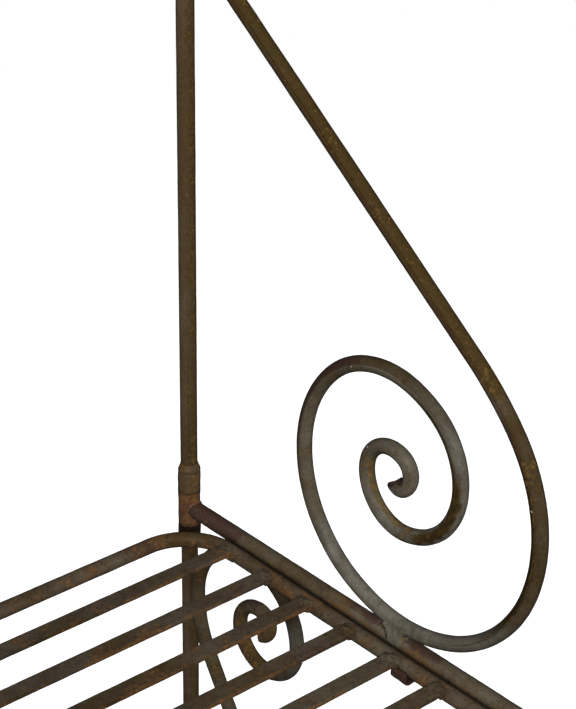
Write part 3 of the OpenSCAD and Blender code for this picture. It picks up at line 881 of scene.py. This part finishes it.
def build_rests(side):
    """Front cradle and rear rest of one side frame."""
    eye = middle("rail_eye_" + side)
    inward = -SIDES[side]
    rail_r = width("side_rail_" + side, 0) / 2
    node = "front_cradle_" + side
    low, high = low_high(node)
    thick = 2.4
    outside = max(abs(low[0] - eye[0]), abs(high[0] - eye[0])) - thick / 2
    foot = low[2] - eye[2] + thick / 2
    slats = [low_high(n) for n in frame["nodes"] if n.startswith("slat_")]
    tab_top = min(box[0][2] for box in slats) - eye[2] - 0.4
    bend_r = 4.2
    turn = np.radians(np.linspace(0, 90, 7))
    path = [(x, foot) for x in np.linspace(-4, outside - bend_r, 9)]
    path += [(outside - bend_r + bend_r * math.sin(a), foot + bend_r * (1 - math.cos(a))) for a in turn[1:]]
    path += [(outside, z) for z in np.linspace(foot + bend_r + 1, tab_top, 8)]
    path = [(eye[0] + inward * x, eye[2] + z) for x, z in path]
    mid_y = (low[1] + high[1]) / 2
    wide = high[1] - low[1]
    points, faces = strap(path, wide, thick, mid_y, 0.8)
    slat_front = max(box[0][1] for box in slats if box[0][1] < mid_y + wide / 2 and box[1][1] > mid_y)
    clear = ease(slat_front - points[:, 1], 0.4, 2.4)
    points[:, 2] += 2.2 * clear * ease(points[:, 2] - eye[2], tab_top - 4, tab_top)
    shell = (points, faces)
    weld = blob((eye[0], mid_y, eye[2] + foot + 2.2), (6.6, wide / 2 - 1, 3.4), 72, 0.1)

    def tone(points, normals):
        # Painted shade: the cradle's downward faces, its faces turned back towards the rail and its narrow sides are
        # darkened, over an evenly darker ground
        inside = ease(-normals[:, 0] * inward, 0.2, 0.8) + ease(abs(normals[:, 1]), 0.6, 0.95) * 0.35
        return 1.0, 0.05 + 0.2 * waves(points, 14, 66), 0.28 + 0.3 * ease(normals[:, 2], 0.2, -0.6) + 0.55 * inside
    piece(node, joined(shell, weld), tone, texture=0.12)

    node = "rear_rest_" + side
    low, high = low_high(node)
    mid_y, wide, thick = (low[1] + high[1]) / 2, high[1] - low[1], high[2] - low[2]
    reach = max(abs(low[0] - eye[0]), abs(high[0] - eye[0]))
    path = [(eye[0] + inward * x, (low[2] + high[2]) / 2) for x in np.linspace(1, reach, 12)]
    shell = strap(path, wide, thick, mid_y, 0.9)

    def rest_tone(points, normals):
        return 0.6, 0.35 + 0.3 * waves(points, 14, 67), 0.1
    piece(node, shell, rest_tone, texture=0.1)


# ---------------------------------------------------------------- cross bars
def build_cross_bar(node, seed):
    low, high = low_high(node)
    centre = (low + high) / 2
    radius = (high - low)[2] / 2
    posts = {side: middle("lower_post_" + side) for side in SIDES}
    post_r = width("lower_post_right", 0) / 2
    reach = abs(posts["right"][0]) - post_r + 3.2
    shell = straight_tube((-reach, centre[1], centre[2]), (reach, centre[1], centre[2]), radius - 0.05, seam=2.4)
    welds = [saddle_bead(posts[side], centre[2], post_r, radius, (-SIDES[side], 0, 0), seed) for side in SIDES]

    def tone(points, normals):
        end = ease(abs(points[:, 0]), reach - 60, reach - 5)
        return 0.1 + 0.4 * end, 0.15 + 0.3 * waves(points, 80, seed + 3) + 0.3 * end, 0.0
    piece(node, joined(shell, *welds), tone, texture=0.03, sway=0.2)


# ---------------------------------------------------------------- deck
def rim_path(low, high, radius):
    """Closed centreline of the rim, as points and outward directions, from its right-hand front corner."""
    x, y0, y1 = high[0] - radius, low[1] + radius, high[1] - radius
    z = (low[2] + high[2]) / 2
    r = RIM_CORNER_R
    corners = [((x - r, y0 + r), -90), ((x - r, y1 - r), 0), ((-x + r, y1 - r), 90), ((-x + r, y0 + r), 180)]
    points, outward = [], []
    for index, (centre, start) in enumerate(corners):
        for a in np.radians(np.linspace(start, start + 90, 25)):
            spoke = np.array([math.cos(a), math.sin(a), 0])
            points.append(np.array([centre[0], centre[1], z]) + r * spoke)
            outward.append(spoke)
        after = corners[(index + 1) % 4]
        first = np.radians(after[1])
        target = np.array([after[0][0] + r * math.cos(first), after[0][1] + r * math.sin(first), z])
        gap = target - points[-1]
        count = round(np.linalg.norm(gap) / STEP)
        here, spoke = points[-1], outward[-1]
        points += [here + gap * k / count for k in range(1, count)]
        outward += [spoke] * (count - 1)
    return np.array(points), np.array(outward)


def build_deck():
    low, high = low_high("deck_rim")
    radius = (high - low)[2] / 2
    rim_x, rim_z = high[0] - radius, (low[2] + high[2]) / 2
    points, outward = rim_path(low, high, radius)
    points = points + 0.4 * outward * [1, 0, 0]
    shell = rings(points, outward, Z_AXIS, round_offsets(np.full(len(points), radius + 0.15)), closed=True)

    def rim_tone(at, normals):
        corner = ease(at[:, 1], high[1] - 70, high[1] - 15) * ease(abs(at[:, 0]), rim_x - 120, rim_x - 30)
        under = ease(-normals[:, 2], 0.1, 0.9)
        outer = ease(normals[:, 0] * np.sign(at[:, 0]) - 0.2 * normals[:, 2], 0.55, 0.98)
        far = ease(abs(at[:, 0]), rim_x - 150, rim_x - 330)
        plum = 0.05 + 0.28 * waves(at, 55, 81)
        rust = 0.29 + 0.2 * corner + 0.27 * waves(at, 26, 82)
        # Painted shade: the underside and the outer side, in the crevice against the rail, are darkened; the rim also
        # darkens towards the middle of the deck
        return plum, rust, 0.3 * under + 0.6 * outer + 0.25 * far, 0.05 + 0.3 * waves(at, 90, 80)
    piece("deck_rim", shell, rim_tone, texture=0.04, sway=0.04)

    slats = sorted((n for n in frame["nodes"] if n.startswith("slat_")), key=lambda n: int(n[5:]))
    for number, node in enumerate(slats):
        build_slat(node, number, rim_x, rim_z, radius)


def build_slat(node, number, rim_x, rim_z, rim_r):
    low, high = low_high(node)
    mid_y, mid_z = (low[1] + high[1]) / 2, (low[2] + high[2]) / 2
    wide, thick = high[1] - low[1], high[2] - low[2]
    reach = rim_x - 1.5
    at = np.linspace(-reach, reach, round(2 * reach / 4.2))
    centres = np.stack([at, np.full(len(at), mid_y), np.full(len(at), mid_z)], axis=-1)
    section = flat_section(wide, thick, 0.9)
    offsets = np.broadcast_to(section, (len(at), *section.shape)).copy()
    nicks = 0.05 * waves(np.stack([at, at * 0 + 60 * number, at * 0], axis=-1), 17, 90 + number)
    offsets[:, :, 0] *= (1 + nicks / wide)[:, None]
    shell = rings(centres, np.array([0.0, 1.0, 0.0]), Z_AXIS, offsets)
    shells = [shell]
    for sign in (-1, 1):
        seed = 100 + 4 * number + sign
        shells.append(blob((sign * (rim_x - 5.5), mid_y, rim_z + 4.6), (7.4, wide / 2 + 0.6, 3.1), seed, 0.13))
        shells.append(blob((sign * (rim_x - 7.5), mid_y - wide * 0.36, rim_z + 2.6), (5.2, 4.2, 3.2), seed + 50, 0.16))

    def tone(points, normals):
        end = ease(abs(points[:, 0]), rim_x - 150, rim_x - 40)
        far = ease(abs(points[:, 0]), rim_x - 90, rim_x - 260)
        weld = ease(abs(points[:, 0]), rim_x - 13, rim_x - 9)
        front = ease(-normals[:, 1], 0.1, 0.7)
        lip = ease(mid_y - points[:, 1], wide * 0.36, wide * 0.5)
        under = ease(-normals[:, 2], 0.2, 0.9)
        reddish = (number in (1, 3)) * ease(waves(points, 24, 86), -1.0, 0.8)
        plum = 0.02 + 0.12 * waves(points, 90, 86 + number) + 0.34 * reddish * ease(end, -0.6, 0.8)
        bright = ease(waves(points * [1, 0, 0], 120, 170 + number) + 0.4 * waves(points * [1, 0, 0], 25, 180), -0.9, 0.7)
        rust = 0.1 - 0.2 * end + bright * (0.8 * front + 0.45 * lip) + 0.3 * waves(points, 30, 95 + number) + 0.2 * under
        umber = 0.12 + 0.25 * waves(points, 110, 190 + number) + 0.3 * front - 0.2 * end
        # The undersides are rustier and painted darker, painted shade; the slats also darken towards the middle of the
        # deck and on their front faces between rust patches
        return plum - 0.3 * weld + 0.2 * front, rust - 0.15 * weld, 0.15 * under + 0.3 * (1 - bright) * front + 0.24 * far, umber
    piece(node, joined(*shells), tone, texture=0.035, sway=0.15)


# ---------------------------------------------------------------- the object
for side in SIDES:
    build_post("lower_post_" + side, seam=2.2)
    build_post("upper_post_" + side, seam=2.2)
    build_knuckle(side, side)
    build_ends(side)
    build_rail(side)
    build_brace(side)
    build_leg(side)
    build_clip(side)
    build_rests(side)
    frame["nodes"]["spigot_" + side].data.materials.clear()
    frame["nodes"]["spigot_" + side].data.materials.append(FINISH["eye_iron"])
build_cross_bar("top_rail", 45)
build_cross_bar("rear_stretcher", 47)
build_deck()


# ---------------------------------------------------------------- studio
def pale_floor():
    """Pale studio floor that reads nearly white and still takes a soft shadow."""
    mesh = bpy.data.meshes.new("floor")
    reach = 14.0
    mesh.from_pydata([(-reach, -reach, 0), (reach, -reach, 0), (reach, reach, 0), (-reach, reach, 0)], [], [(0, 1, 2, 3)])
    floor = bpy.data.objects.new("floor", mesh)
    bpy.context.scene.collection.objects.link(floor)
    g = Graph("floor_paint")
    seen = g.add("LightPath").outputs["Is Camera Ray"]
    grain = g.noise(g.add("TexCoord").outputs["Object"], 3.0)
    paint = g.mix(grain, (0.78, 0.78, 0.775, 1), (0.82, 0.82, 0.815, 1))
    matt = g.add("BsdfDiffuse", Color=paint)
    glow = g.add("Emission", Color=(1, 1, 1, 1), Strength=0.82)
    near = g.add("AddShader", i0=matt.outputs[0], i1=glow.outputs[0])
    far = g.add("Emission", Color=(1, 1, 1, 1), Strength=1.0)
    spread = g.add("VectorMath", {"operation": "LENGTH"}, i0=g.add("TexCoord").outputs["Object"]).outputs["Value"]
    lit = g.add("MixShader", i0=g.span(spread, 1.4, 3.2), i1=near.outputs[0], i2=far.outputs[0])
    dim = g.add("BsdfDiffuse", Color=(0.35, 0.34, 0.33, 1))
    both = g.add("MixShader", i0=seen, i1=dim.outputs[0], i2=lit.outputs[0])
    g.add("OutputMaterial", Surface=both.outputs[0])
    mesh.materials.append(g.material)


def softbox(name, place, target, size, power):
    data = bpy.data.lights.new(name, "AREA")
    data.shape = "RECTANGLE"
    data.size, data.size_y = size
    data.energy = power
    lamp = bpy.data.objects.new(name, data)
    bpy.context.scene.collection.objects.link(lamp)
    lamp.location = place
    lamp.rotation_mode = "QUATERNION"
    lamp.rotation_quaternion = (Vector(target) - Vector(place)).to_track_quat("-Z", "Y")


def studio():
    world = bpy.data.worlds.new("studio")
    bpy.context.scene.world = world
    world.use_nodes = True
    tree = world.node_tree
    tree.nodes.clear()
    seen = tree.nodes.new("ShaderNodeLightPath")
    backdrop = tree.nodes.new("ShaderNodeBackground")
    backdrop.inputs[1].default_value = 1.0
    backdrop.inputs[0].default_value = (1, 1, 1, 1)
    room = tree.nodes.new("ShaderNodeBackground")
    room.inputs[0].default_value = (0.93, 0.96, 1.0, 1)
    room.inputs[1].default_value = 0.15
    mix = tree.nodes.new("ShaderNodeMixShader")
    out = tree.nodes.new("ShaderNodeOutputWorld")
    tree.links.new(seen.outputs["Is Camera Ray"], mix.inputs[0])
    tree.links.new(room.outputs[0], mix.inputs[1])
    tree.links.new(backdrop.outputs[0], mix.inputs[2])
    tree.links.new(mix.outputs[0], out.inputs[0])
    softbox("key_light", (-2.0, -2.5, 3.0), (0.2, 0.0, 0.6), (1.5, 1.5), 175)
    softbox("fill_light", (2.6, -2.6, 1.6), (0.1, 0.0, 0.6), (1.6, 1.6), 26)
    softbox("back_light", (-0.6, 3.0, 2.6), (0.0, 0.0, 0.6), (2.4, 1.6), 22)


def photo_camera():
    """Camera above the deck's front left, aimed so that the right-hand knuckle leads the picture."""
    data = bpy.data.cameras.new("camera")
    data.sensor_width = 36.0
    data.lens = 101.55
    data.clip_start, data.clip_end = 0.05, 60.0
    camera = bpy.data.objects.new("camera", data)
    bpy.context.scene.collection.objects.link(camera)
    right = Vector((0.75367509, -0.65707798, 0.01491266))
    up = Vector((0.28960638, 0.35237855, 0.88991994))
    ahead = Vector((0.5900017, 0.66639169, -0.45587291))
    knuckle = Vector(middle("rail_eye_right") * MM)
    place = knuckle + Vector((-1.003835, -1.270696, 0.990347))
    turn = Matrix((right, up, -ahead)).transposed()
    camera.matrix_world = Matrix.Translation(place) @ turn.to_4x4()
    bpy.context.scene.camera = camera


pale_floor()
studio()
photo_camera()
bpy.context.scene.view_settings.view_transform = "Standard"
